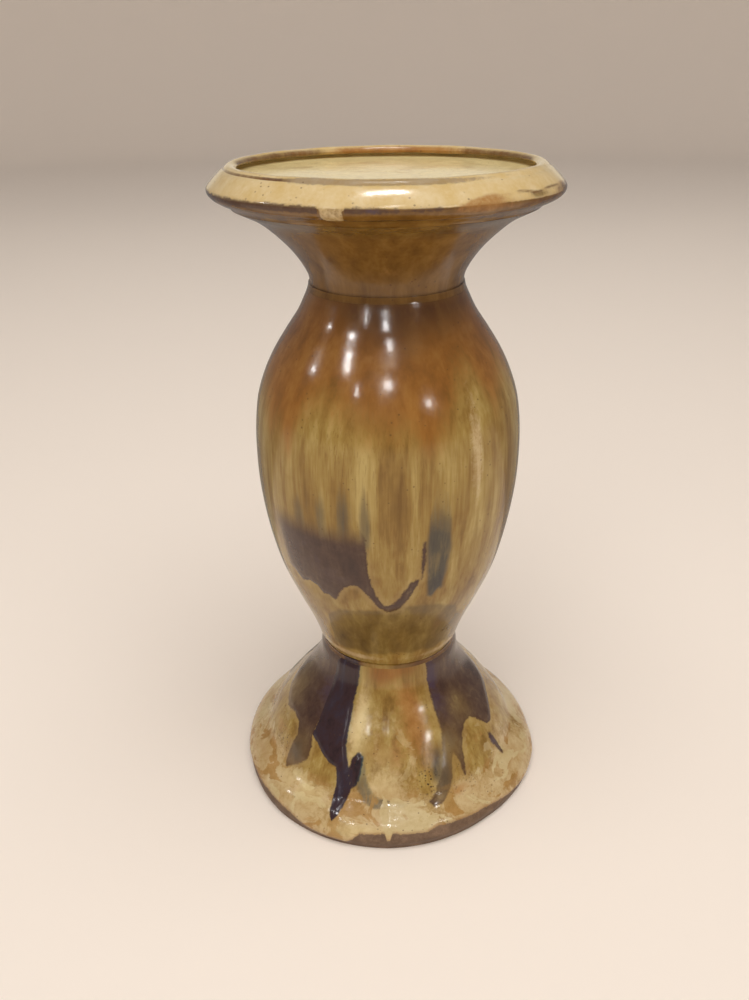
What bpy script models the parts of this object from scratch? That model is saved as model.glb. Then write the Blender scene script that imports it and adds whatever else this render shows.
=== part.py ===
"""Hollow glazed pottery candle stand: bell foot, baluster body, trumpet neck and dish.

The stand is made the way a potter makes it: four thrown sections of leather-hard clay are
luted end to end with rings of slip, then fired as one. Every section is turned about +Z.
Units are metres, the origin is the centre of the face it stands on, +Z is up.
"""
import math

import bmesh
import bpy

MM = 0.001

# Driving dimensions, in millimetres.
HEIGHT = 280.2            # table to the crest of the candle ring
WALL = 6.0                # thrown wall thickness
JOINT_GAP = 0.3           # parting between a slip ring and the section it bonds
SLIP_RING_HEIGHT = 2.6    # thickness of a bonding ring
SLIP_HOLLOW = 0.4         # how far the middle of a ring's outer face is pressed in
SEGMENTS = 64             # facets round the turning axis

FOOT_RADIUS = 72.4        # widest point of the foot brim
FOOT_RING_INNER = 60.5    # inside edge of the flat ring it stands on
WAIST_RADIUS = 32.0       # joint between foot and body
WAIST_Z = 70.0
BULB_RADIUS = 56.2        # widest point of the body
BULB_Z = 166.0
NECK_RADIUS = 30.6        # joint between body and neck
NECK_Z = 235.0
LIP_RADIUS = 67.0         # widest point of the dish
LIP_Z = 272.0
DISH_JOINT_Z = 266.6      # joint between neck and dish
RING_RADIUS = 57.9        # crest of the rolled ring that keeps the candle centred
RECESS_RADIUS = 54.6      # flat floor inside the ring
RECESS_DEPTH = 4.0        # crest of the ring down to the floor
DISH_THICKNESS = 6.6      # dish floor

FLOOR_Z = HEIGHT - RECESS_DEPTH
HALF_JOINT = SLIP_RING_HEIGHT / 2 + JOINT_GAP


def smooth(keys, steps):
    """Catmull-Rom curve through (radius, z) keys, with `steps` spans between two keys."""
    padded = [keys[0]] + list(keys) + [keys[-1]]
    curve = []
    for a, b, c, d in zip(padded, padded[1:], padded[2:], padded[3:]):
        for k in range(steps):
            t = k / steps
            curve.append(tuple(
                0.5 * (2 * q + (r - p) * t + (2 * p - 5 * q + 4 * r - s) * t ** 2
                       + (3 * q - p - 3 * r + s) * t ** 3)
                for p, q, r, s in zip(a, b, c, d)))
    curve.append(tuple(keys[-1]))
    return curve


def inset(curve, depth):
    """The curve moved `depth` towards the axis, square to itself."""
    moved = []
    last = len(curve) - 1
    for i, (radius, z) in enumerate(curve):
        r0, z0 = curve[max(i - 1, 0)]
        r1, z1 = curve[min(i + 1, last)]
        length = math.hypot(r1 - r0, z1 - z0)
        moved.append((radius - depth * (z1 - z0) / length, z + depth * (r1 - r0) / length))
    return moved


def between(curve, low, high):
    """The part of a rising curve strictly between two heights."""
    return [(r, z) for r, z in curve if low + 0.4 < z < high - 0.4]


def radius_at(curve, height):
    """Radius of a rising curve at a height."""
    for (r0, z0), (r1, z1) in zip(curve, curve[1:]):
        if z0 <= height <= z1:
            return r0 + (r1 - r0) * (height - z0) / (z1 - z0)
    return curve[0][0] if height < curve[0][1] else curve[-1][0]


def cut(curve, low, high):
    """A rising curve with its ends trimmed to two exact heights."""
    return ([(radius_at(curve, low), low)] + between(curve, low, high)
            + [(radius_at(curve, high), high)])


def turn(name, loop, colour, roughness):
    """Turn a closed (radius, z) loop about +Z into one closed solid.

    A loop point on the axis (radius 0) becomes a single pole vertex.
    """
    mesh = bpy.data.meshes.new(name)
    bm = bmesh.new()
    rings = []
    for radius, z in loop:
        if radius < 1e-6:
            rings.append([bm.verts.new((0.0, 0.0, z * MM))])
            continue
        rings.append([bm.verts.new((radius * MM * math.cos(2 * math.pi * k / SEGMENTS),
                                    radius * MM * math.sin(2 * math.pi * k / SEGMENTS),
                                    z * MM)) for k in range(SEGMENTS)])
    for lower, upper in zip(rings, rings[1:] + rings[:1]):
        if len(lower) == len(upper) == 1:
            continue
        for k in range(SEGMENTS):
            n = (k + 1) % SEGMENTS
            if len(lower) == 1:
                bm.faces.new((lower[0], upper[n], upper[k]))
            elif len(upper) == 1:
                bm.faces.new((lower[k], lower[n], upper[0]))
            else:
                bm.faces.new((lower[k], lower[n], upper[n], upper[k]))
    bmesh.ops.recalc_face_normals(bm, faces=bm.faces)
    bmesh.ops.triangulate(bm, faces=bm.faces)
    bm.to_mesh(mesh)
    bm.free()

    material = bpy.data.materials.new(name)
    material.use_nodes = True
    shader = material.node_tree.nodes["Principled BSDF"]
    shader.inputs["Base Color"].default_value = (*colour, 1.0)
    shader.inputs["Roughness"].default_value = roughness
    shader.inputs["Metallic"].default_value = 0.0
    mesh.materials.append(material)
    part = bpy.data.objects.new(name, mesh)
    bpy.context.scene.collection.objects.link(part)
    return part


def slip_ring(name, height, outer_low, outer_high, inner, colour):
    """A ring of slip that bonds two sections, its outer face pressed slightly hollow."""
    low, high = height - SLIP_RING_HEIGHT / 2, height + SLIP_RING_HEIGHT / 2
    middle = (outer_low + outer_high) / 2 - SLIP_HOLLOW
    return turn(name, [(inner, low), (outer_low, low), (middle, height), (outer_high, high),
                       (inner, high)], colour, 0.35)


for old in list(bpy.data.objects):
    bpy.data.objects.remove(old, do_unlink=True)

# Foot: standing edge, rolled brim and its shoulder, valley, bell shoulder, flank, throat.
foot_outer = smooth([
    (71.0, 0.0), (FOOT_RADIUS, 5.0), (68.5, 11.0), (61.0, 17.5), (55.5, 27.0), (46.0, 40.0),
    (38.0, 50.0), (WAIST_RADIUS + 1.0, 60.0), (WAIST_RADIUS, WAIST_Z + 1.0)], 2)
bell_inner = smooth([
    (FOOT_RING_INNER, 0.0), (58.6, 5.0), (55.8, 11.5), (52.2, 18.5), (47.6, 26.0),
    (41.5, 33.6), (35.0, 41.2), (29.6, 48.6), (26.8, 56.0), (25.6, 64.0), (25.4, 71.0)], 1)
foot_top = WAIST_Z - HALF_JOINT
turn("foot_bell",
     cut(foot_outer, 0.0, foot_top) + cut(bell_inner, 0.0, foot_top)[::-1],
     (0.52, 0.34, 0.16), 0.15)

slip_ring("waist_slip_ring", WAIST_Z, WAIST_RADIUS - 0.5, WAIST_RADIUS - 0.3, 25.4,
          (0.16, 0.10, 0.05))

# Body: a short collar, a swelling belly, the bulb, then a shoulder drawn in to the neck.
body_outer = smooth([
    (WAIST_RADIUS, WAIST_Z - 4.0), (WAIST_RADIUS + 1.0, WAIST_Z + 4.0), (37.5, 87.0),
    (48.5, 114.0), (54.5, 142.0), (BULB_RADIUS, BULB_Z), (54.0, 190.0), (46.5, 208.5),
    (36.0, 224.5), (NECK_RADIUS, NECK_Z + 1.0)], 2)
body_low, body_high = WAIST_Z + HALF_JOINT, NECK_Z - HALF_JOINT
turn("baluster_body",
     cut(body_outer, body_low, body_high)
     + cut(inset(body_outer, WALL), body_low, body_high)[::-1],
     (0.44, 0.27, 0.10), 0.12)

slip_ring("neck_slip_ring", NECK_Z, NECK_RADIUS + 0.8, NECK_RADIUS + 0.2, 24.6,
          (0.18, 0.09, 0.03))

# Neck: a trumpet that opens out under the dish.
neck_outer = smooth([
    (NECK_RADIUS, NECK_Z - 2.0), (31.0, 240.0), (37.5, 250.0), (48.5, 260.0),
    (58.0, 265.0), (63.0, 268.0)], 3)
neck_low, neck_high = NECK_Z + HALF_JOINT, DISH_JOINT_Z - HALF_JOINT
turn("neck_trumpet",
     cut(neck_outer, neck_low, neck_high)
     + cut(inset(neck_outer, WALL - 0.6), neck_low, neck_high)[::-1],
     (0.20, 0.11, 0.03), 0.12)

# Its outer face follows the slant from the trumpet to the underside of the lip.
slip_ring("dish_slip_ring", DISH_JOINT_Z, 58.4, 62.2, 50.4, (0.20, 0.12, 0.05))

# Dish: floor, rolled ring that keeps the candle centred, 45 degree brim and a blunt lip.
dish_low = DISH_JOINT_Z + HALF_JOINT
dish_loop = [
    (0.0, FLOOR_Z - DISH_THICKNESS), (44.0, FLOOR_Z - DISH_THICKNESS), (49.0, dish_low),
    (62.8, dish_low), (65.2, 269.2), (66.6, 270.6), (LIP_RADIUS, LIP_Z), (66.5, 273.2),
    (64.0, 275.9), (61.2, 278.4), (60.2, 279.0), (59.3, 279.8),
    (RING_RADIUS, HEIGHT), (56.4, 279.9), (55.3, 278.9), (RECESS_RADIUS + 0.3, FLOOR_Z + 0.5),
    (RECESS_RADIUS - 0.6, FLOOR_Z), (0.0, FLOOR_Z)]
turn("candle_dish", dish_loop, (0.62, 0.48, 0.24), 0.15)
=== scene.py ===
"""Glazed pottery candle stand: the looks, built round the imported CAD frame.

Each turned section is rebuilt as a dense mesh on its own CAD outline. Fields kept on the
vertices say where each glaze lies; the same fields raise the thick runs in the mesh and
colour them in the material. Angles are degrees round the stand: 0 faces the viewer (-Y),
positive to the viewer's right (+X). Lengths are millimetres until a mesh is made.
"""
import math

import bpy
import numpy as np
from mathutils import Matrix, Vector


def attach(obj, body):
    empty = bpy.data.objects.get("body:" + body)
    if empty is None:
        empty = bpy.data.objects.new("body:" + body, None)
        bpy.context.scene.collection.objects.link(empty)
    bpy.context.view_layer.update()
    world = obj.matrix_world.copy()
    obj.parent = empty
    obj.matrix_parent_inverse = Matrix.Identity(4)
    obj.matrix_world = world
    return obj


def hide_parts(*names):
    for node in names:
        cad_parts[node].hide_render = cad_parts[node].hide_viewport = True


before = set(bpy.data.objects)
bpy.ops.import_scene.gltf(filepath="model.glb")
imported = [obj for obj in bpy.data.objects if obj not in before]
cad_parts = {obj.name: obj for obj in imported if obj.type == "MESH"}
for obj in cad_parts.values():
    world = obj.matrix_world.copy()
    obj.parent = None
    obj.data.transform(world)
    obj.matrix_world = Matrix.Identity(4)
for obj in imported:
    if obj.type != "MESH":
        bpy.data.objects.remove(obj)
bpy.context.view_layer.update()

MM = 0.001
COLUMNS = 360          # vertices round a section
ROW_STEP = 0.9         # spacing of rows along an outer outline
INNER_STEP = 6.0       # spacing of rows along a hidden inner outline
PARTING = 0.35         # each section end reaches over the CAD parting, to touch its ring
FAN_RADIUS = 1.0       # a row narrower than this closes to the axis with a fan
AXIS_ROW = 0.6         # radius of the rows of the dish nearest the axis


# ---------------------------------------------------------------- outlines from the frame

def section(node):
    """The outline of a turned CAD node in the half plane at +X: (radius, z) in order."""
    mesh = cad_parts[node].data
    spots, links = {}, {}
    for v in mesh.vertices:
        if abs(v.co.y) < 1e-6 and v.co.x > -1e-6:
            spots[v.index] = (round(v.co.x / MM, 3), round(v.co.z / MM, 3))
    for edge in mesh.edges:
        a, b = (spots.get(i) for i in edge.vertices)
        if a and b and a != b:
            links.setdefault(a, set()).add(b)
            links.setdefault(b, set()).add(a)
    on_axis = [p for p in links if p[0] < 0.01]
    if on_axis:
        start = min(on_axis, key=lambda p: p[1])
        links[start].discard(next((p for p in on_axis if p != start), None))
    else:
        low = min(p[1] for p in links)
        start = max(p for p in links if p[1] < low + 0.01)
    path, here = [start], start
    while True:
        ahead = [p for p in links[here] if p not in path]
        if not ahead:
            return path
        here = max(ahead) if len(path) == 1 and not on_axis else ahead[0]
        path.append(here)


def walls(node):
    """A hollow section's outer and inner outlines, each from its low end to its high end."""
    path = section(node)
    high = max(p[1] for p in path)
    last = max(i for i, p in enumerate(path) if p[1] > high - 0.01 and p[0] == max(
        q[0] for q in path if q[1] > high - 0.01))
    return path[:last + 1], path[:last:-1]


def spline(points, step):
    """A smooth curve through the points (Catmull-Rom), resampled at an even spacing."""
    p = np.array([points[0]] + list(points) + [points[-1]], float)
    dense = []
    for a, b, c, d in zip(p, p[1:], p[2:], p[3:]):
        t = np.linspace(0, 1, 24, endpoint=False)[:, None]
        dense.append(0.5 * (2 * b + (c - a) * t + (2 * a - 5 * b + 4 * c - d) * t ** 2
                            + (3 * b - a - 3 * c + d) * t ** 3))
    dense = np.vstack(dense + [p[-1:]])
    run = np.concatenate([[0], np.cumsum(np.hypot(*np.diff(dense, axis=0).T))])
    even = np.linspace(0, run[-1], max(2, int(round(run[-1] / step)) + 1))
    return np.column_stack([np.interp(even, run, dense[:, i]) for i in (0, 1)]), even


# ---------------------------------------------------------------- fields on a section

class Skin:
    """The outer surface of a section as a grid: rows along the outline, columns round it."""

    def __init__(self, outline, step=ROW_STEP):
        self.rz, self.run = spline(outline, step)
        tangent = np.gradient(self.rz, axis=0)
        tangent /= np.hypot(*tangent.T)[:, None]
        self.normal = np.column_stack([tangent[:, 1], -tangent[:, 0]])
        self.az = np.linspace(-180, 180, COLUMNS, endpoint=False)[None, :]
        self.r = self.rz[:, :1]
        self.z = self.rz[:, 1:] + 0 * self.az
        self.s = self.run[:, None] + 0 * self.az
        self.lift = np.zeros_like(self.z)
        self.fields = {}

    def along(self, z):
        """Distance along the outline at a height."""
        return np.interp(z, self.rz[:, 1], self.run)

    def inside(self, shape, heights=True):
        """Signed distance into a closed shape of (angle, height) corners, in millimetres."""
        corners = [(a, self.along(b) if heights else b) for a, b in shape]
        middle = sum(a for a, _ in corners) / len(corners)
        turn = (self.az - middle + 180) % 360 - 180
        x, y = np.radians(turn) * self.r, self.s
        nearest = np.full_like(y, 1e9)
        crossings = np.zeros(y.shape, int)
        for (a0, y0), (a1, y1) in zip(corners, corners[1:] + corners[:1]):
            x0, x1 = np.radians(a0 - middle) * self.r, np.radians(a1 - middle) * self.r
            dx, dy = x1 - x0, y1 - y0
            t = np.clip(((x - x0) * dx + (y - y0) * dy) / (dx * dx + dy * dy + 1e-9), 0, 1)
            nearest = np.minimum(nearest, np.hypot(x - x0 - t * dx, y - y0 - t * dy))
            if y0 != y1:
                hit = ((y0 > y) != (y1 > y)) & (x < x0 + dx * (y - y0) / dy)
                crossings += hit
        return np.where(crossings % 2 == 1, nearest, -nearest)

    def shapes(self, several, heights=True):
        """The largest signed distance over several shapes."""
        return np.max([self.inside(s, heights) for s in several], axis=0)

    def blob(self, angle, height, width, tall, heights=True):
        """A soft spot, 1 at its centre: half sizes in degrees and millimetres."""
        middle = self.along(height) if heights else height
        turn = (self.az - angle + 180) % 360 - 180
        return np.exp(-(turn / width) ** 2 - ((self.s - middle) / tall) ** 2)

    def ring(self, keys):
        """A value that changes round the stand, through (angle, value) keys."""
        keys = sorted(keys)
        angles = [keys[-1][0] - 360] + [k[0] for k in keys] + [keys[0][0] + 360]
        values = [keys[-1][1]] + [k[1] for k in keys] + [keys[0][1]]
        return np.interp(self.az, angles, values)

    def wander(self, tall, waves, seed):
        """A gentle random surface between about -1 and 1, periodic round the stand."""
        rng = np.random.RandomState(seed)
        total = np.zeros_like(self.z)
        for _ in range(14):
            turns = rng.randint(1, waves)
            total += np.sin(np.radians(self.az) * turns + rng.uniform(0, 2 * math.pi)) * \
                np.sin(self.s / tall * rng.uniform(0.4, 1.6) + rng.uniform(0, 2 * math.pi))
        return total / 4.5


def step_up(value, low, high):
    """0 below low, 1 above high, smooth between."""
    t = np.clip((value - low) / (high - low), 0, 1)
    return t * t * (3 - 2 * t)


def turned(shape, angle, width=1.0, climb=0.0):
    """A shape moved round the stand; a negative width mirrors it."""
    return [(angle + a * width, z + climb) for a, z in shape]


def teardrop(angle, top, tip, half, lean=0.0):
    """A run of glaze with a bead at its tip."""
    tall = top - tip
    right = [(0.5, 1.0), (0.55, 0.7), (0.45, 0.45), (0.62, 0.25), (0.72, 0.12), (0.4, 0.02)]
    points = [(angle + half * w + lean * (1 - h), tip + tall * h) for w, h in right]
    points += [(angle - half * w + lean * (1 - h), tip + tall * h) for w, h in right[::-1]]
    return points


# ---------------------------------------------------------------- meshes

def make_piece(name, skin, inner, node, material, lining=None):
    """Turn the skin, with its lift, and the inner outline into one closed mesh.

    The inner outline runs from its low end to its high end. `lining` gives glaze fields on
    it, each a function of height. Two neighbouring rows at the axis close with a fan each.
    """
    inner = np.asarray(inner)[::-1]
    steps = np.hypot(*np.diff(np.vstack([skin.rz[-1:], inner]), axis=0).T)
    all_run = np.concatenate([skin.run, skin.run[-1] + np.cumsum(steps)])[:, None]
    flat = 0 * skin.az

    def full(outer, rest):
        return np.vstack([outer + 0 * skin.z, np.asarray(rest).reshape(-1, 1) + flat])

    radius = full(skin.r + skin.normal[:, :1] * skin.lift, inner[:, 0])
    height = full(skin.z + skin.normal[:, 1:] * skin.lift, inner[:, 1])
    height = np.maximum(height, 0.0)        # the standing edge stays flat on the table
    angle = np.radians(skin.az)
    points = np.stack([radius * np.sin(angle), -radius * np.cos(angle), height], -1)
    points = points.reshape(-1, 3) * MM

    count = len(radius)
    column = np.arange(COLUMNS)
    nxt = (column + 1) % COLUMNS
    at_axis = radius[:, 0] < FAN_RADIUS
    quads, fans, hubs = [], [], []
    for i in range(count):
        j = (i + 1) % count
        a, b = i * COLUMNS, j * COLUMNS
        if not (at_axis[i] and at_axis[j]):
            quads.append(np.column_stack([a + column, a + nxt, b + nxt, b + column]))
            continue
        for row, first, second in ((a, column, nxt), (b, nxt, column)):
            hub = len(points) + len(hubs)
            hubs.append(points[row:row + COLUMNS].mean(0))
            fans += [[int(row + m), int(row + n), hub] for m, n in zip(first, second)]
    points = np.vstack([points] + [h[None] for h in hubs])
    mesh = bpy.data.meshes.new(name)
    mesh.from_pydata(points.tolist(), [], np.vstack(quads).tolist() + fans)
    mesh.update()

    def store(key, values, kind, channel):
        values = np.asarray(values, np.float32)
        size = values.shape[-1] if values.ndim == 3 else 1
        values = values.reshape(-1, size)
        spare = np.repeat(values[-1:], len(points) - len(values), 0)
        data = mesh.attributes.new(key, kind, "POINT").data
        data.foreach_set(channel, np.vstack([values, spare]).ravel())

    for key, values in skin.fields.items():
        rest = (lining or {}).get(key, lambda z, last=np.mean(values[-1]): last + 0 * z)
        store(key, full(values, rest(inner[:, 1])), "FLOAT", "value")
    base_radius = full(skin.r, inner[:, 0])
    flow = np.stack([np.sin(angle) * base_radius, -np.cos(angle) * base_radius,
                     all_run + flat], -1)
    store("flow", flow, "FLOAT_VECTOR", "vector")
    mesh.materials.append(material)
    mesh.shade_smooth()
    mesh.set_sharp_from_angle(angle=math.radians(60))
    piece = bpy.data.objects.new(name, mesh)
    bpy.context.scene.collection.objects.link(piece)
    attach(piece, "root")
    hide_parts(node)
    return piece


# ---------------------------------------------------------------- glaze material

def srgb(r, g, b):
    """A colour given in display values, as the linear colour that a shader takes."""
    return tuple((c / 255 / 12.92 if c <= 10 else ((c / 255 + 0.055) / 1.055) ** 2.4)
                 for c in (r, g, b)) + (1.0,)


class Graph:
    """Short names for making shader nodes."""

    def __init__(self, name):
        self.material = bpy.data.materials.new(name)
        self.material.use_nodes = True
        self.nodes = self.material.node_tree.nodes
        self.links = self.material.node_tree.links
        self.shader = self.nodes["Principled BSDF"]

    def plug(self, value, socket):
        if isinstance(value, bpy.types.NodeSocket):
            self.links.new(value, socket)
        else:
            socket.default_value = value

    def attribute(self, name, vector=False):
        node = self.nodes.new("ShaderNodeAttribute")
        node.attribute_name = name
        return node.outputs["Vector" if vector else "Fac"]

    def math(self, operation, a, b=0.0):
        node = self.nodes.new("ShaderNodeMath")
        node.operation = operation
        self.plug(a, node.inputs[0])
        self.plug(b, node.inputs[1])
        return node.outputs[0]

    def scaled(self, vector, scale):
        node = self.nodes.new("ShaderNodeVectorMath")
        node.operation = "MULTIPLY"
        self.plug(vector, node.inputs[0])
        node.inputs[1].default_value = scale
        return node.outputs[0]

    def noise(self, vector, scale, detail=3.0, rough=0.5, warp=0.0):
        node = self.nodes.new("ShaderNodeTexNoise")
        self.plug(vector, node.inputs["Vector"])
        node.inputs["Scale"].default_value = scale
        node.inputs["Detail"].default_value = detail
        node.inputs["Roughness"].default_value = rough
        node.inputs["Distortion"].default_value = warp
        return node.outputs["Fac"]

    def cells(self, vector, scale):
        node = self.nodes.new("ShaderNodeTexVoronoi")
        self.plug(vector, node.inputs["Vector"])
        node.inputs["Scale"].default_value = scale
        return node.outputs["Distance"]

    def rise(self, value, low, high, out_low=0.0, out_high=1.0):
        """Smooth step from low to high."""
        node = self.nodes.new("ShaderNodeMapRange")
        node.interpolation_type = "SMOOTHSTEP"
        self.plug(value, node.inputs["Value"])
        for key, number in (("From Min", low), ("From Max", high),
                            ("To Min", out_low), ("To Max", out_high)):
            node.inputs[key].default_value = number
        return node.outputs["Result"]

    def ramp(self, value, stops):
        node = self.nodes.new("ShaderNodeValToRGB")
        self.plug(value, node.inputs["Fac"])
        ramp = node.color_ramp
        while len(ramp.elements) < len(stops):
            ramp.elements.new(0.5)
        for element, (place, colour) in zip(ramp.elements, stops):
            element.position = place
            element.color = srgb(*colour)
        return node.outputs["Color"]

    def mix(self, factor, a, b):
        node = self.nodes.new("ShaderNodeMix")
        node.data_type = "RGBA"
        self.plug(factor, node.inputs["Factor"])
        self.plug(a, node.inputs["A"])
        self.plug(b, node.inputs["B"])
        return node.outputs["Result"]


# Colours of the glazes, from dark and thick to light and thin.
OCHRE = [(0.33, (116, 84, 32)), (0.44, (141, 109, 50)), (0.54, (160, 132, 69)),
         (0.65, (184, 160, 98))]
AMBER = [(0.34, (125, 81, 30)), (0.48, (142, 94, 36)), (0.62, (159, 111, 49))]
UMBER = [(0.32, (80, 50, 22)), (0.50, (100, 66, 30)), (0.68, (122, 84, 40))]
NECK = [(0.32, (98, 68, 26)), (0.50, (121, 86, 36)), (0.68, (140, 105, 50))]
PLUM = [(0.34, (54, 36, 30)), (0.46, (76, 53, 42)), (0.55, (90, 68, 52)),
        (0.66, (122, 98, 62))]
INK = [(0.34, (32, 20, 25)), (0.48, (56, 36, 38)), (0.62, (54, 42, 52)),
       (0.76, (78, 72, 84))]
SLATE = [(0.36, (58, 54, 54)), (0.50, (84, 76, 62)), (0.64, (126, 108, 70))]
OLIVE = [(0.32, (92, 70, 28)), (0.50, (118, 93, 44)), (0.66, (142, 118, 62))]
CREAM = [(0.28, (150, 112, 60)), (0.42, (178, 148, 98)), (0.56, (196, 172, 128)),
         (0.72, (214, 196, 160))]
DISH_CREAM = [(0.28, (186, 154, 90)), (0.42, (203, 175, 118)), (0.56, (212, 190, 144)),
              (0.72, (222, 206, 168))]
RUST = [(0.32, (126, 80, 34)), (0.50, (158, 110, 54)), (0.68, (184, 140, 80))]
CLAY = [(0.32, (84, 62, 44)), (0.50, (110, 86, 66)), (0.68, (142, 114, 90))]


def glaze(name, base, cream, gloss):
    """The one glaze recipe: a base, then each glaze that its field says lies over it."""
    g = Graph(name)
    flow = g.attribute("flow", vector=True)
    broad = g.noise(g.scaled(flow, (1, 1, 0.09)), 0.15, 3.0, 0.55, 0.3)
    fine = g.noise(g.scaled(flow, (1, 1, 0.045)), 0.80, 2.0, 0.6)
    hair = g.noise(g.scaled(flow, (1, 1, 0.05)), 1.5, 2.0, 0.6)
    cloud = g.noise(flow, 0.085, 4.0, 0.6, 0.6)
    ragged = g.noise(flow, 0.42, 4.0, 0.65, 0.8)
    grain = g.noise(flow, 1.7, 3.0, 0.6)

    def blend(*pairs):
        total = 0.0
        for value, share in pairs:
            total = g.math("ADD", g.math("MULTIPLY", value, share), total)
        return total

    streaky = blend((broad, 0.66), (fine, 0.20), (cloud, 0.14))
    cloudy = blend((cloud, 0.50), (ragged, 0.35), (grain, 0.15))
    mottled = blend((streaky, 0.55), (cloudy, 0.45))

    def cover(field, rough_edge, soft, streaks=0.5):
        """How far a glaze covers, from its signed distance, with a wandering edge."""
        wobble = blend((ragged, 1 - streaks), (broad, streaks * 0.6), (fine, streaks * 0.4))
        moved = g.math("ADD", g.attribute(field),
                       g.math("MULTIPLY", g.math("SUBTRACT", wobble, 0.5), rough_edge))
        return moved, g.rise(moved, -soft, soft)

    colour = g.ramp(streaky, base)
    lines = g.math("MULTIPLY", g.rise(hair, 0.56, 0.66), g.attribute("hairs"))
    colour = g.mix(g.math("MULTIPLY", lines, 0.35), colour, srgb(112, 74, 28))
    for field, stops, key, rough_edge, soft, streaks in (
            ("cream", cream, mottled, 2.2, 0.55, 0.35),
            ("olive", OLIVE, streaky, 2.0, 0.70, 0.6),
            ("amber", AMBER, streaky, 4.2, 1.10, 0.95),
            ("rust", RUST, mottled, 2.2, 0.60, 0.5),
            ("umber", UMBER, streaky, 2.6, 1.10, 0.9),
            ("slate", SLATE, streaky, 2.2, 0.60, 0.9)):
        _, factor = cover(field, rough_edge, soft, streaks)
        colour = g.mix(factor, colour, g.ramp(key, stops))

    # Crisp-edged patches where the top glaze broke, and a pale wash: pale glaze pools on the
    # foot; on the dish floor partly pale glaze, partly painted reflection.
    breaks = g.noise(flow, 0.055, 5.0, 0.55, 0.9)
    share = g.attribute("patches")
    colour = g.mix(g.math("MULTIPLY", g.rise(breaks, 0.54, 0.57), share), colour,
                   g.ramp(cloudy, [(0.35, (186, 164, 116)), (0.65, (208, 191, 148))]))
    colour = g.mix(g.math("MULTIPLY", g.rise(breaks, 0.44, 0.40), share), colour,
                   g.ramp(cloudy, [(0.35, (142, 106, 48)), (0.65, (178, 136, 76))]))
    colour = g.mix(g.math("MULTIPLY", g.attribute("pale"), g.rise(streaky, 0.30, 0.55, 0.6)),
                   colour, srgb(240, 221, 164))

    # Plum: a pale halo outside its edge, a dark rim inside, then the cloudy body colour.
    moved, plum = cover("plum", 4.2, 0.55, 0.45)
    plum = g.math("MULTIPLY", plum, g.attribute("plum_depth"))
    halo = g.math("MULTIPLY", g.rise(moved, -3.4, -0.8), g.attribute("halo"))
    colour = g.mix(g.math("MULTIPLY", halo, 0.30), colour, srgb(180, 154, 100))
    rim = g.mix(g.rise(moved, 0.3, 1.5), srgb(74, 48, 36), g.ramp(mottled, PLUM))
    tint = g.attribute("tint")
    dusk = g.rise(g.math("ADD", cloud, g.math("MULTIPLY", tint, 0.18)), 0.50, 0.70)
    rim = g.mix(g.math("MULTIPLY", dusk, tint), rim, srgb(72, 55, 70))
    colour = g.mix(plum, colour, rim)

    # Ink: blue-green where it runs thin at its free edge, almost black where it is thick.
    moved, ink = cover("ink", 2.2, 0.40, 0.35)
    free = g.math("MULTIPLY", g.math("SUBTRACT", 1.0, plum), g.attribute("ink_edge"))
    colour = g.mix(g.math("MULTIPLY", g.rise(moved, -2.0, 0.0, 0.0, 0.45), free), colour,
                   srgb(150, 148, 104))
    deep = g.ramp(streaky, INK)
    thin = g.mix(g.attribute("ink_edge"), deep, srgb(62, 76, 78))
    colour = g.mix(ink, colour, g.mix(g.rise(moved, 0.1, 1.2), thin, deep))

    # Small dark specks, and clusters of pin holes.
    speck = g.math("MULTIPLY", g.rise(g.cells(flow, 0.34), 0.17, 0.10),
                   g.rise(cloud, 0.50, 0.58))
    colour = g.mix(g.math("MULTIPLY", speck, 0.55), colour, srgb(80, 52, 30))
    spots = g.math("MULTIPLY", g.rise(g.cells(flow, 0.62), 0.36, 0.22),
                   g.attribute("specks"))
    colour = g.mix(g.math("MULTIPLY", spots, 0.85), colour, srgb(66, 46, 32))

    # Bare clay along the standing edge.
    moved, bare = cover("bare", 3.0, 0.30, 0.15)
    colour = g.mix(g.math("MULTIPLY", g.rise(moved, -1.6, 0.0), 0.45), colour,
                   srgb(136, 84, 40))
    colour = g.mix(bare, colour, g.ramp(cloudy, CLAY))
    g.plug(colour, g.shader.inputs["Base Color"])

    rough = g.rise(cloudy, 0.35, 0.70, gloss * 0.7, gloss * 1.5)
    rough = g.math("ADD", rough, g.math("MULTIPLY", bare, 0.5))
    g.plug(rough, g.shader.inputs["Roughness"])
    g.shader.inputs["IOR"].default_value = 1.42
    g.shader.inputs["Coat Weight"].default_value = 0.12
    g.shader.inputs["Coat Roughness"].default_value = 0.04

    bump = g.nodes.new("ShaderNodeBump")
    bump.inputs["Distance"].default_value = 0.0003
    bump.inputs["Strength"].default_value = 0.16
    height = blend((ragged, 0.5), (fine, 0.15), (g.math("MULTIPLY", bare, grain), 4.0),
                   (spots, -0.8))
    g.plug(height, bump.inputs["Height"])
    g.plug(bump.outputs["Normal"], g.shader.inputs["Normal"])
    return g.material


NO_GLAZE = -6.0        # a signed distance or weight far outside


def start_fields(skin):
    """Every field the glaze reads, at nothing."""
    for key in ("cream", "olive", "amber", "umber", "rust", "slate", "plum", "ink", "bare"):
        skin.fields[key] = np.full_like(skin.z, NO_GLAZE)
    for key in ("halo", "plum_depth", "ink_edge"):
        skin.fields[key] = np.ones_like(skin.z)
    for key in ("hairs", "tint", "specks", "patches", "pale"):
        skin.fields[key] = np.zeros_like(skin.z)


def stretch(points, low=0.0, high=0.0):
    """An outline carried on along its own slope, further down and up, over the partings."""
    points = [tuple(p) for p in points]
    for end, beside, climb in ((0, 1, -low), (-1, -2, high)):
        (r0, z0), (r1, z1) = points[beside], points[end]
        points[end] = (r1 + (r1 - r0) / (z1 - z0) * climb, z1 + climb)
    return points


def soften_end(skin, height, depth, reach):
    """Round the section over towards one of its ends."""
    skin.lift -= depth * np.exp(-((skin.z - height) / reach) ** 2)


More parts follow.
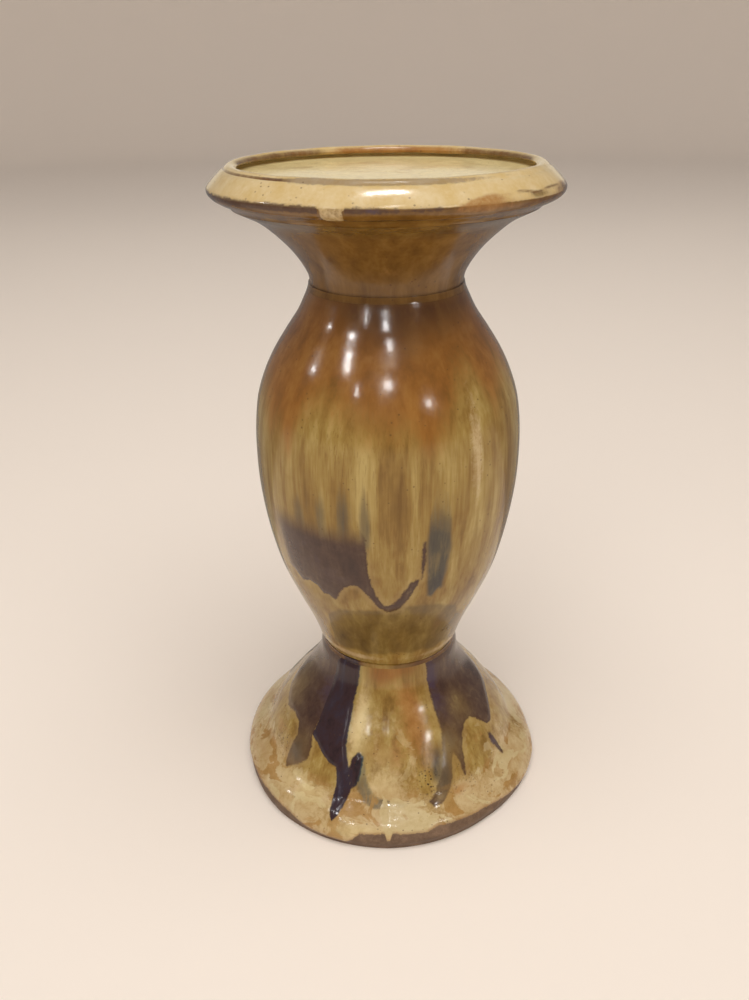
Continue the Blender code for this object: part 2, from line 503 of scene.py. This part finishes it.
# ---------------------------------------------------------------- foot

foot_out, foot_in = walls("foot_bell")
foot = Skin(stretch(foot_out, 0, PARTING))
start_fields(foot)
F = foot.fields

# Outlines of the runs of glaze, as (angle, height) corners.
INK_RUN = [(-46, 72), (-25, 72), (-26, 60), (-27, 52), (-25.6, 44), (-24.5, 36),
           (-21.5, 30), (-19.5, 25), (-18, 21), (-19.5, 16), (-21.5, 11.5), (-23, 9.6),
           (-24.6, 12), (-25.4, 17), (-25.2, 22), (-27, 27.5), (-31, 28), (-36, 30),
           (-41, 32.5), (-46, 34), (-46.5, 41), (-48, 49), (-49, 57), (-48, 65)]
INK_BRANCH = [(-20.5, 27), (-20.2, 32), (-17.5, 35), (-14, 33.5), (-14.6, 27),
              (-15.5, 23), (-18, 20.5)]
PLUM_LEFT = [(-92, 72), (-38, 72), (-42, 58), (-45, 50), (-46, 40), (-46, 34), (-43.5, 30),
             (-43, 25), (-46, 22), (-50, 19), (-53, 16.5), (-55.5, 18), (-56, 24),
             (-55.5, 30), (-59, 34), (-66, 35), (-76, 33), (-90, 36), (-104, 44), (-110, 58)]
PLUM_RIGHT = [(31, 72), (92, 72), (104, 58), (98, 44), (88, 39), (80, 37), (73, 34),
              (66, 30.5), (61, 31), (57, 35), (52, 38.5), (46, 38), (42, 35), (38.5, 31),
              (36.8, 25), (35.6, 20.5), (34.4, 21), (34, 27), (32.5, 31), (30.5, 28),
              (28.5, 22), (25, 17.5), (21, 15), (17, 14.6), (15.2, 16.2), (19, 19),
              (22.8, 24), (27, 32), (30, 40), (30.6, 50)]
PLUM_DROP = [(57.5, 28.5), (59.5, 28), (60.8, 24), (61.4, 20), (62, 16.5), (60.4, 16.8),
             (58.6, 21), (56.8, 25)]
F["ink"] = foot.shapes([INK_RUN, INK_BRANCH, turned(INK_RUN, 158, -0.8, 4),
                        teardrop(-116, 56, 22, 4.0, 2)])
F["ink_edge"] = np.clip(0.9 * foot.blob(-24, 52, 2.2, 22) + foot.blob(-15, 30, 2.2, 7)
                        + foot.blob(178, 50, 5, 20), 0, 1)
F["plum"] = foot.shapes([PLUM_LEFT, PLUM_RIGHT, PLUM_DROP, turned(PLUM_LEFT, 212, 0.8, 2),
                         turned(PLUM_DROP, 100, 0.6, 3)])
F["plum_depth"] = 1 - 0.55 * foot.blob(24, 24, 7, 13) - 0.5 * foot.blob(-51, 24, 7, 9) \
    - 0.45 * foot.blob(33, 34, 7, 9) - 0.4 * foot.blob(-84, 40, 14, 16) \
    - 0.3 * foot.blob(50, 44, 8, 8)
F["tint"] = foot.blob(35, 60, 7, 16) + 0.7 * foot.blob(-48, 50, 12, 16) \
    + 0.8 * foot.blob(59, 24, 6, 6)
F["specks"] = 1.2 * foot.blob(17, 24, 5, 6) + 0.8 * foot.blob(-62, 24, 8, 5) \
    + 0.5 * foot.blob(34, 18, 9, 4)
clay_height = foot.ring([(-180, 3), (-140, 5), (-100, 3), (-80, 4.5), (-68, 6.4),
                         (-50, 6.8), (-40, 6.0), (-32, 3.0), (-17, 2.4), (-12, 7.6),
                         (-3, 8.4), (-1.5, 4.5), (0, 8.4), (12, 7.8), (17, 9.2), (25, 8.8),
                         (38, 8.2), (48, 6.5), (56, 4.2), (66, 1.6), (100, 4.5),
                         (140, 2.0)])
F["bare"] = foot.along(clay_height) - foot.s
F["cream"] = step_up(foot.z, 26, 14) * 1.35 - 0.85 + 0.4 * foot.wander(9, 12, 41)
F["cream"] += 1.5 * foot.blob(-21, 46, 5, 15) + 1.0 * foot.blob(-3, 24, 11, 8)
F["cream"] += 0.7 * foot.blob(-8, 40, 3, 12) + 0.8 * foot.blob(11, 34, 2.5, 18)
F["cream"] += 0.9 * foot.blob(66, 30, 10, 12) - 0.8 * foot.blob(17, 44, 8, 22)
F["cream"] -= 0.9 * foot.blob(46, 30, 9, 9)
F["olive"] = -1.7 + 1.7 * foot.blob(-20, 5, 4, 6) + 1.1 * foot.blob(44, 28, 9, 8) \
    + 0.8 * foot.blob(10, 33, 4, 12) + 0.9 * foot.blob(74, 12, 10, 5) \
    + 0.8 * foot.blob(-72, 16, 10, 6)
F["rust"] = -1.05 + 0.7 * foot.blob(4, 56, 18, 9) + 0.9 * foot.blob(2, 34, 4, 12) \
    + 1.2 * foot.blob(29, 17, 8, 3) + 1.3 * foot.blob(60, 14, 10, 3) \
    + 1.5 * foot.blob(15, 44, 10, 20) + 0.9 * foot.blob(-38, 14, 14, 3) \
    + 0.8 * foot.blob(-70, 13, 14, 4) + 0.5 * foot.blob(-14, 44, 5, 12)
F["amber"] = -2.2 + 3.1 * foot.blob(-8, 67, 14, 10) + 2.6 * foot.blob(14, 70, 14, 6) \
    + 1.6 * foot.blob(18, 44, 5, 18)
pale_run = foot.inside([(-17.4, 29), (-15.8, 21), (-13.4, 17), (-8, 15.2), (-2, 15.2),
                        (4, 15.4), (8.5, 16.6), (4, 17.8), (-2, 18.4), (-7, 19.6),
                        (-9.6, 22.6), (-11.6, 27), (-13, 32)])
F["slate"] = -1.4 + 2.4 * foot.blob(24, 26, 6, 13) + 2.1 * foot.blob(-51, 25, 7, 9) \
    + 1.5 * foot.blob(34, 36, 6, 8)
F["slate"] = np.maximum(F["slate"], np.clip(pale_run * 0.8 - 0.35, -3, 0.25))

F["patches"] = step_up(foot.z, 24, 17) * 0.85 + 0.55 * foot.blob(60, 28, 18, 10) \
    + 0.5 * foot.blob(-74, 26, 14, 8) + 0.45 * foot.blob(2, 34, 16, 14)
F["pale"] = 0.55 * foot.blob(-19, 44, 4.5, 16) + 0.2 * foot.blob(-5, 27, 10, 10) \
    + 0.35 * foot.blob(-40, 15, 12, 5) + 0.3 * foot.blob(-12, 8, 10, 4)

foot.lift += 0.60 * step_up(F["ink"], -0.6, 2.4) + 0.22 * step_up(F["plum"], -0.8, 2.5)
foot.lift += 0.6 * foot.blob(-23, 12.5, 2.6, 3.4) + 0.4 * foot.blob(17, 16, 4, 2.6)
foot.lift += 0.13 * foot.wander(7, 14, 3) * step_up(foot.z, 0.5, 4)
foot.lift += (0.55 * foot.wander(26, 5, 4) + 0.30 * foot.wander(12, 12, 5)) \
    * step_up(foot.z, 0.0, 6) * step_up(foot.z, 40, 12)
brim_out = foot.ring([(-180, 0), (-120, 0.5), (-75, -0.6), (-45, 0.6), (-25, 0.4), (0, 0),
                      (20, -0.8), (38, -1.3), (52, -0.6), (66, 0.5), (78, 0.9), (92, -0.5),
                      (130, 0.4)])
foot.lift += brim_out * step_up(foot.z, 20, 10)
foot.lift -= 0.45 * step_up(F["bare"], -0.8, 0.6) * step_up(foot.z, 0.0, 1.5)
foot.lift += 0.10 * np.exp(-((foot.az + 1.5) / 0.7) ** 2)
soften_end(foot, foot.rz[-1, 1], 0.6, 1.6)

# ---------------------------------------------------------------- body

body_out, body_in = walls("baluster_body")
body = Skin(stretch(body_out, PARTING, PARTING))
start_fields(body)
B = body.fields

PATCH = [(-76, 142), (-62, 152), (-47, 155), (-38, 157), (-30, 158), (-21, 159),
         (-14, 157), (-10.5, 150), (-10.2, 140), (-9.5, 132), (-8.2, 125), (-5.6, 118),
         (-3, 114), (-0.8, 114.2), (1.6, 116), (4.2, 119.5), (6.8, 123.5), (9.2, 127),
         (11.6, 129), (12.8, 127.4), (10.6, 122.8), (8.4, 118.4), (6.2, 114.8),
         (3.6, 111.8), (0.6, 110.6), (-2, 110.8), (-5.6, 113), (-8.4, 116.6),
         (-11.6, 120.8), (-15, 124.6), (-19, 124.4), (-22.8, 121.4), (-25.4, 117.4),
         (-28, 114.2), (-31, 116.4), (-34, 115.8), (-37, 119.6), (-42, 120.6), (-47, 118.6),
         (-52, 122.6), (-62, 124), (-72, 126)]
# Invented: the photo does not show the back.
BACK_PATCH = [(-34, 152), (-24, 158), (-8, 160), (10, 160), (24, 158), (33, 151), (36, 141),
              (35, 131), (31, 125.5), (27, 127), (23, 121), (20, 115.6), (17, 114), (14, 119),
              (10, 122.6), (5, 121), (1, 116), (-2, 109), (-4.6, 107), (-6, 112),
              (-8, 118.4), (-12, 121), (-17, 119.6), (-21, 121.6), (-26, 126.8), (-31, 127),
              (-36, 131), (-38, 141)]
B["plum"] = body.shapes([
    PATCH, [(13.2, 147), (14.6, 147), (14.9, 138), (14.4, 128.4), (13.2, 128.6), (13.0, 138)],
    turned(BACK_PATCH, 160), turned(BACK_PATCH, -124, -0.62, 3)])
side = np.where(np.abs(body.az) > 90, 0.95, step_up(body.az, -59, -51))
B["plum_depth"] = side * step_up(body.z, 156, 144)
B["tint"] = 0.25 * body.blob(-40, 134, 12, 12) + 0.15 * body.blob(-24, 130, 8, 10)
blue = body.inside([(16, 170), (21, 172), (25, 168), (26.4, 156), (26.6, 142), (26.2, 130),
                    (25.4, 121.5), (23.6, 119.6), (22.8, 121.2), (19.6, 117.2),
                    (17.2, 118.6), (16.6, 124), (15.8, 132), (14.6, 144), (14.2, 158)])
B["slate"] = np.clip(blue / 1.8, -3.0, 1.0) - 1.5 * step_up(body.z, 136, 172) \
    - 0.5 * body.blob(24.5, 128, 2.2, 22)
for angle, height, wide, tall, most in (
        (-10, 154, 3.5, 20, 2.1), (-29, 156, 5, 18, 1.8), (-19, 158, 5.5, 22, 1.95),
        (165, 150, 8, 24, 1.7), (-100, 140, 7, 22, 1.6), (-40, 155, 6, 16, 1.8),
        (-35, 162, 2.4, 16, 1.6), (8, 150, 2.4, 12, 1.2)):
    B["slate"] = np.maximum(B["slate"], -1.7 + most * body.blob(angle, height, wide, tall))
fade = body.ring([(-180, 196), (-140, 200), (-95, 204), (-70, 198), (-56, 190),
                  (-46, 186), (-38, 198), (-30, 203), (-22, 201), (-12, 196), (-4, 193),
                  (8, 193), (18, 190), (25, 194), (32, 207), (42, 211), (48, 202), (54, 198),
                  (66, 208), (90, 202), (130, 200)])
B["amber"] = (body.z - fade) / 9.0 + 0.7 * body.blob(-44, 182, 3, 24) \
    + 0.6 * body.blob(50, 186, 3, 26) + 0.6 * body.blob(-58, 176, 3, 24) \
    + 0.8 * body.blob(15, 188, 4, 16) + 0.4 * body.blob(1, 182, 3, 18)
B["umber"] = (body.z - 224) / 7.0 + 0.6 * body.blob(8, 216, 9, 10) + body.ring(
    [(-180, -0.4), (-90, -1.2), (-60, -1.3), (-34, -0.9), (-20, 0.0), (6, 0.2), (22, 0.0),
     (32, 0.0), (48, -0.3), (70, -0.9), (120, -0.4)])
B["umber"] = np.clip(B["umber"], -6.0, 1.2) * step_up(body.z, 236, 231)
B["umber"] = np.maximum(B["umber"], -1.4 + 1.5 * body.blob(29, 98, 5, 8))
B["rust"] = -1.9 + 1.9 * step_up(body.z, 226, 233) * body.ring(
    [(-180, 1.0), (-50, 1.2), (-26, 0.7), (24, 0.7), (40, 1.1)])
B["hairs"] = body.blob(2, 172, 13, 30) + 0.7 * body.blob(-22, 190, 9, 24) \
    + 0.35 * np.exp(-((body.z - 168) / 34) ** 2)
olive_top = body.ring([(-180, 106), (-120, 108), (-60, 80), (-47, 79), (-42, 86),
                       (-37, 99), (-28, 105), (-7, 109), (0, 111), (14, 110), (26, 108),
                       (38, 103), (46, 92), (56, 84), (80, 100), (120, 110)])
olive_soft = body.ring([(-180, 9), (-60, 6), (-42, 2), (42, 2), (60, 6)])
B["olive"] = np.clip((olive_top - body.z) / olive_soft, -2.0, 1.0)
# The olive between heights 84 and 134 all round is partly olive glaze and partly painted shade
# on the lower body, which faces down.
B["olive"] += 0.4 * body.wander(5, 24, 51) - 1.5 * step_up(body.z, 82, 77) \
    - 1.5 * body.blob(11, 95, 6, 10) - 0.8 * body.blob(-22, 88, 3, 10) \
    - 0.9 * body.blob(-1, 90, 2.4, 16) \
    + 1.5 * step_up(body.z, 134, 118) * step_up(body.z, 84, 96)
B["cream"] = -1.6 + 0.2 * np.exp(-((body.z - 115) / 7) ** 2) \
    + 1.9 * body.blob(37, 182, 5, 34) + 1.1 * body.blob(-36, 184, 4, 26) \
    + 1.1 * body.blob(-64, 176, 6, 34) + 0.9 * body.blob(-5, 122, 3, 9) \
    + 2.2 * np.exp(-((body.z - 75.5) / 2.2) ** 2) * body.ring(
        [(-180, 0.6), (-70, 1.0), (-20, 1.0), (0, 0.5), (20, 0.6), (36, 0.9), (60, 1.0)]) \
    + 0.9 * body.blob(60, 170, 4, 30) + 0.9 * body.blob(24, 188, 4, 14) \
    + 0.9 * body.blob(-22, 106, 9, 8) + 0.9 * body.blob(-44, 100, 12, 14)
B["halo"] = step_up(body.z, 150, 128)

body.lift += 0.28 * step_up(B["plum"], -0.8, 2.6) * B["plum_depth"]
body.lift += 0.25 * step_up(blue, -0.5, 3.5) * step_up(body.z, 150, 124)
body.lift += 0.10 * body.wander(10, 16, 7) + 0.25 * body.wander(60, 5, 8)
body.lift += 0.08 * np.exp(-((body.az + 1.5) / 0.7) ** 2) * step_up(body.z, 112, 100)
soften_end(body, body.rz[0, 1], 0.9, 1.6)

# ---------------------------------------------------------------- neck

neck_out, neck_in = walls("neck_trumpet")
neck = Skin(stretch(neck_out, PARTING, PARTING), 0.8)
start_fields(neck)
N = neck.fields
N["rust"] = -1.9 + 1.6 * neck.blob(2, 246, 16, 6) + 1.1 * neck.blob(-18, 252, 12, 4) \
    + 1.2 * neck.blob(52, 243, 14, 7) + 1.1 * neck.blob(-60, 245, 14, 8)
N["umber"] = -1.9 + 1.4 * neck.blob(-6, 244, 26, 4) + 1.2 * neck.blob(14, 250, 12, 5)
N["olive"] = -1.6 + 1.5 * step_up(neck.z, 254, 263)
neck.lift += 0.10 * neck.wander(10, 12, 9)

# ---------------------------------------------------------------- dish

dish_path = section("candle_dish")
# The outer skin starts at the outer edge of the flat underside.
under = [i for i, p in enumerate(dish_path) if p[0] > 62 and p[1] < 268.6][0]
dish = Skin([(p[0], p[1] - (PARTING if i == 0 else 0))
             for i, p in enumerate(dish_path[under:-1])] + [(AXIS_ROW, dish_path[-1][1])], 0.7)
start_fields(dish)
D = dish.fields
dish_under = spline([(AXIS_ROW, dish_path[0][1])] + dish_path[1:under], INNER_STEP)[0]
crest = dish.run[np.argmax(dish.rz[:, 1])]
edge = dish.run[np.argmax(dish.rz[:, 0])]
groove = crest - 2.3
wall_foot = crest + 6.0
above = dish.s - edge
D["cream"] = 1.3 - 3.0 * step_up(above, 0.5, -0.7) + 0.25 * dish.wander(9, 12, 43)
D["rust"] = -1.8 + 2.4 * np.exp(-((dish.s - crest - 2.8) / 2.4) ** 2) * dish.ring(
    [(-180, 1.0), (-165, 1.0), (-150, 0.6), (-100, 0.6), (-70, 0.5), (0, 0.2),
     (70, 0.5), (110, 0.6), (150, 0.9), (170, 1.1)])
D["rust"] += 0.9 * np.exp(-((above - 0.5) / 0.7) ** 2)
D["umber"] = -2.4 + 2.9 * np.exp(-((dish.s - crest - 2.8) / 2.3) ** 2) * dish.ring(
    [(-180, 0.1), (-158, 0.3), (-150, 1.0), (-125, 1.1), (-92, 1.1), (-84, 0.5),
     (-60, 0.0), (60, 0.0), (88, 0.2), (97, 1.1), (125, 1.1), (142, 1.0), (150, 0.1)])
D["umber"] += 3.6 * np.exp(-((dish.s - groove + 0.2) / 0.7) ** 2) * dish.ring(
    [(-180, 0), (-92, 0), (-80, 0.8), (-60, 1.0), (-36, 1.1), (-26, 0.2), (0, 0)])
D["plum"] = 1.3 - np.abs(dish.s - groove) + dish.ring(
    [(-180, -2.4), (-60, -2.2), (-38, -1.0), (-26, 0.2), (-8, 0.4), (12, 0.3), (22, -0.4),
     (32, -1.2), (60, -2.4)])
D["plum_depth"] = (1 - 0.40 * step_up(dish.s, edge + 2, edge + 4)) * dish.ring(
    [(-180, 0.7), (-90, 0.7), (-70, 0.85), (-22, 0.85), (-10, 0.8), (20, 0.8), (60, 0.7)])
D["halo"] *= 0.0
dark_lip = dish.ring([(-180, 0.2), (-90, 0.2), (-70, 0.5), (-24, 0.75), (-19.6, 0.6),
                      (-19.2, -2.4), (-12.4, -2.4), (-12, 0.5), (-2, 0.3), (4, -0.3),
                      (12, 0.1), (17, -0.8), (36, -1.2), (42, -0.8), (56, -0.6), (74, 0.0),
                      (120, 0.1)])
D["plum"] = np.maximum(D["plum"], dark_lip + 0.55 - np.abs(above + 0.55))
D["tint"] = 1.4 * dish.blob(-4.5, edge - 0.6, 2.5, 2, heights=False) \
    + 0.9 * np.exp(-((dish.s - groove) / 2) ** 2)
tan_drip = dish.inside([(-19.4, edge + 1), (-12.6, edge + 1), (-12.8, 1.2), (-14, 0.4),
                        (-18.4, 0.5), (-19.3, 1.6)], heights=False)
D["cream"] = np.where((tan_drip > -0.6) & (above < 0.2), np.clip(tan_drip, -0.6, 0.1),
                      D["cream"])
# The dish floor made paler: partly its pale glaze, partly painted reflection.
D["pale"] = 1.0 * step_up(dish.s, wall_foot - 1, wall_foot + 2)
D["amber"] = np.full_like(dish.z, -3.0) + 1.2 * dish.blob(30, edge - 1, 14, 2.4, heights=False)
brown_brim = 0.9 * dish.wander(3, 30, 61) + dish.inside([
    (18, edge - 2), (19, edge + 0.2), (23, edge + 1.8), (30, edge + 3.0), (37, edge + 3.2),
    (44, edge + 2.9), (52, edge + 3.1), (68, edge + 3.0), (82, edge + 2.4),
    (96, edge + 1.2), (96, edge - 2)], heights=False)
D["rust"] = np.maximum(D["rust"], np.clip(brown_brim / 1.6, -3.0, 0.1)
                       + 0.2 * dish.blob(26, edge + 1.5, 8, 3, heights=False)
                       - 2.6 * dish.blob(48, edge + 1.5, 9, 3, heights=False))
D["umber"] = np.maximum(D["umber"], np.clip(brown_brim, -3.0, 0.0)
                        + 1.6 * dish.blob(70, edge + 0.6, 12, 2.6, heights=False) - 0.9)
D["umber"] = np.maximum(D["umber"], 0.5 - np.abs(brown_brim - 0.3) / 0.5 + dish.ring(
    [(-180, -3), (34, -3), (40, 0.2), (60, 0.3), (66, -1), (80, -3)]))
D["olive"] = -2.2 + 2.7 * dish.blob(49, edge + 1.2, 9, 2.0, heights=False) \
    + 1.7 * dish.blob(-84, edge + 4, 12, 4, heights=False) \
    + 1.6 * dish.blob(-170, crest + 3, 5, 2, heights=False) \
    + 1.5 * dish.blob(-98, crest + 2.6, 16, 2.4, heights=False)
dish.lift += 0.16 * dish.wander(6, 16, 13) * step_up(dish.s, wall_foot + 6, wall_foot)
dish.lift += 0.08 * dish.wander(16, 8, 14)
dish.lift += 0.5 * step_up(tan_drip, -0.5, 1.0)
dish.lift += np.exp(-((dish.s - crest) / 3.4) ** 2) * dish.ring(
    [(-180, 1.1), (-120, 0.6), (-75, 0.0), (0, -0.35), (75, 0.0), (120, 0.6)])
dish.lift -= 0.25 * np.exp(-((dish.s - groove + 1.0) / 0.7) ** 2)

# ---------------------------------------------------------------- joints

def waist_paint(skin):
    """Dark brown in the crease, lighter in front, with the ink of the foot carried up."""
    skin.fields["umber"] = skin.ring([(-180, 1.5), (-30, 1.6), (-18, -0.6), (-6, -1.0),
                                      (6, 0.2), (16, 0.4), (26, 1.4)]) + 0 * skin.z
    skin.fields["rust"] = -1.0 + 0 * skin.z
    skin.fields["ink"] = 1.6 - np.abs(skin.az + 34) / 4.5 + 0 * skin.z
    skin.fields["ink_edge"] = 0 * skin.z


def neck_paint(skin):
    """The same brown as the shoulder below and the trumpet above."""
    skin.fields["rust"] = -0.7 + 0 * skin.z


def dish_paint(skin):
    """The brown of the trumpet."""
    skin.fields["olive"] = -0.4 + 0 * skin.z


RING_LIFT = 0.12        # thickness of the glaze at the edges of a joint
# node, piece, slot, glazes, and thickness of the glaze half way up the joint
RINGS = (("waist_slip_ring", "waist_joint", "waist_slip", waist_paint, 0.1),
         ("neck_slip_ring", "neck_joint", "neck_slip", neck_paint, 0.47),
         ("dish_slip_ring", "dish_joint", "dish_slip", dish_paint, 0.15))

glazes = {slot: glaze(slot, base, cream, shine) for slot, base, cream, shine in (
    ("foot_glaze", OCHRE, CREAM, 0.17), ("body_glaze", OCHRE, CREAM, 0.17),
    ("neck_glaze", NECK, CREAM, 0.17), ("dish_glaze", NECK, DISH_CREAM, 0.17),
    ("waist_slip", OCHRE, CREAM, 0.18), ("neck_slip", NECK, CREAM, 0.13),
    ("dish_slip", NECK, CREAM, 0.13))}

foot_lining = {"bare": lambda z: (20 - z) / 2, "rust": lambda z: 0 * z - 0.8,
               "plum": lambda z: 0 * z + NO_GLAZE, "ink": lambda z: 0 * z + NO_GLAZE,
               "cream": lambda z: 0 * z - 0.6}
for name, skin, inner, node, slot, lining in (
        ("foot", foot, foot_in, "foot_bell", "foot_glaze", foot_lining),
        ("body", body, stretch(body_in, PARTING, PARTING), "baluster_body", "body_glaze", None),
        ("neck", neck, stretch(neck_in, PARTING, PARTING), "neck_trumpet", "neck_glaze",
         None)):
    make_piece(name, skin, spline(inner, INNER_STEP)[0], node, glazes[slot], lining)
make_piece("dish", dish, dish_under[::-1], "candle_dish",
           glazes["dish_glaze"], {"bare": lambda z: 0 * z + 3})

for node, name, slot, paint, most in RINGS:
    ring_out, ring_in = walls(node)
    skin = Skin(ring_out, 0.4)
    start_fields(skin)
    paint(skin)
    middle, reach = np.mean(ring_out, axis=0)[1], np.ptp(np.array(ring_out)[:, 1]) / 3
    skin.lift += RING_LIFT + (most - RING_LIFT) * np.exp(-((skin.z - middle) / reach) ** 2)
    skin.lift += 0.05 * skin.wander(5, 20, 31)
    make_piece(name, skin, spline(ring_in, 1.0)[0], node, glazes[slot])

# ---------------------------------------------------------------- stage, light, camera

def plain(name, colour, roughness):
    """A material of one colour."""
    g = Graph(name)
    g.shader.inputs["Base Color"].default_value = srgb(*colour)
    g.shader.inputs["Roughness"].default_value = roughness
    return g.material


def studio(name, points, faces, mirrored):
    """A piece of the pale studio round the stand."""
    mesh = bpy.data.meshes.new(name)
    mesh.from_pydata(points, [], faces)
    mesh.shade_smooth()
    mesh.materials.append(PAPER)
    piece = bpy.data.objects.new(name, mesh)
    bpy.context.scene.collection.objects.link(piece)
    piece.visible_glossy = mirrored


PAPER = plain("studio_paper", (248, 238, 228), 0.6)
FLOOR_END = 0.14        # metres behind the axis; past here the glaze doesn't mirror the floor
FLOOR_HALF = 3          # half the width of the mirrored floor
COVE_FLAT = 3.2         # where the round backdrop starts to rise
COVE_BEND = 1.0         # radius of its rise
COVE_TOP = 5.0
COVE_DROP = 0.0001      # its floor lies this far below the mirrored one
COVE_STEPS, COVE_SIDES = 12, 96
studio("studio_floor",
       [(-FLOOR_HALF, -FLOOR_HALF, 0), (FLOOR_HALF, -FLOOR_HALF, 0),
        (FLOOR_HALF, FLOOR_END, 0), (-FLOOR_HALF, FLOOR_END, 0)],
       [(0, 1, 2, 3)], mirrored=True)
cove = [(0.02, -COVE_DROP), (COVE_FLAT, -COVE_DROP)]
cove += [(COVE_FLAT + COVE_BEND * math.sin(a), COVE_BEND * (1 - math.cos(a)))
         for a in (math.pi / 2 * k / COVE_STEPS for k in range(1, COVE_STEPS + 1))]
cove.append((COVE_FLAT + COVE_BEND, COVE_TOP))
turn_steps = [2 * math.pi * k / COVE_SIDES for k in range(COVE_SIDES)]
studio("studio_backdrop",
       [(r * math.sin(a), r * math.cos(a), z) for r, z in cove for a in turn_steps],
       [(i * COVE_SIDES + k, i * COVE_SIDES + (k + 1) % COVE_SIDES,
         (i + 1) * COVE_SIDES + (k + 1) % COVE_SIDES, (i + 1) * COVE_SIDES + k)
        for i in range(len(cove) - 1) for k in range(COVE_SIDES)], mirrored=False)


LAMP_AIM = 0.16         # metres up the stand


def lamp(name, angle, rise, distance, size, power, colour=(1, 1, 1), highlights_only=False,
         no_highlights=False):
    """A soft rectangle aimed at the middle of the stand; angle 0 is the viewer's side."""
    data = bpy.data.lights.new(name, "AREA")
    data.shape = "RECTANGLE"
    data.size, data.size_y = size
    data.energy = power
    data.color = colour
    light = bpy.data.objects.new(name, data)
    a, e = math.radians(angle), math.radians(rise)
    aim = Vector((0, 0, LAMP_AIM))
    light.location = aim + distance * Vector((math.sin(a) * math.cos(e),
                                              -math.cos(a) * math.cos(e), math.sin(e)))
    light.rotation_euler = (light.location - aim).to_track_quat("Z", "Y").to_euler()
    bpy.context.scene.collection.objects.link(light)
    light.visible_camera = False
    if highlights_only:
        light.visible_diffuse = False
    if no_highlights:
        light.visible_glossy = False


lamp("overhead", 10, 72, 2.4, (2.6, 2.2), 54, (1.0, 0.97, 0.93), no_highlights=True)
lamp("front_fill", -12, 30, 2.6, (2.4, 1.6), 9, (1.0, 0.97, 0.94), no_highlights=True)

# Small bright panels, seen only in the glaze: angle, rise, width, height, share of the glow.
# The first six directions are rounded from a calculation on highlights in the photo.
PANEL_GLOW = 60.0       # watts per square metre of a panel, over pi
PANEL_DISTANCE = 2.0
for number, (angle, rise, wide, tall, glow) in enumerate((
        (-50, 45, 0.18, 0.15, 1.0), (-85, 30, 0.15, 0.06, 1.1), (-30, 35, 0.06, 0.14, 1.0),
        (0, 40, 0.20, 0.18, 0.7), (40, 25, 0.17, 0.14, 0.6), (5, 55, 0.14, 0.14, 0.9),
        (5, 85, 0.55, 0.12, 1.0))):
    lamp(f"panel_{number}", angle, rise, PANEL_DISTANCE, (wide, tall),
         glow * PANEL_GLOW * math.pi * wide * tall, highlights_only=True)

lamp("rear_glow", 180, 9, PANEL_DISTANCE, (2.0, 0.34), 0.9, (1.0, 0.9, 0.72),
     highlights_only=True)

world = bpy.data.worlds.new("studio")
world.use_nodes = True
sky = world.node_tree.nodes["Background"]
sky.inputs["Color"].default_value = srgb(186, 185, 184)
sky.inputs["Strength"].default_value = 0.5
bpy.context.scene.world = world
bpy.context.scene.view_settings.view_transform = "Standard"

# Least-squares fits to the outline in the photo gave these.
CAMERA_DISTANCE = 0.340     # from the turning axis
CAMERA_HEIGHT = 0.3104      # above the table
CAMERA_SIDE = -0.0060       # to the right of the stand
CAMERA_DOWN = 26.83         # degrees below level
CAMERA_ROLL = 0.8           # degrees
FOCAL_RATIO = 0.8512        # focal length over picture height
SENSOR_HEIGHT = 24.0        # millimetres

camera_data = bpy.data.cameras.new("camera")
camera_data.sensor_fit = "VERTICAL"
camera_data.sensor_height = SENSOR_HEIGHT
camera_data.lens = FOCAL_RATIO * SENSOR_HEIGHT
camera = bpy.data.objects.new("camera", camera_data)
camera.location = (CAMERA_SIDE, -CAMERA_DISTANCE, CAMERA_HEIGHT)
camera.rotation_euler = (Matrix.Rotation(math.radians(90 - CAMERA_DOWN), 3, "X")
                         @ Matrix.Rotation(math.radians(-CAMERA_ROLL), 3, "Z")).to_euler()
bpy.context.scene.collection.objects.link(camera)
bpy.context.scene.camera = camera
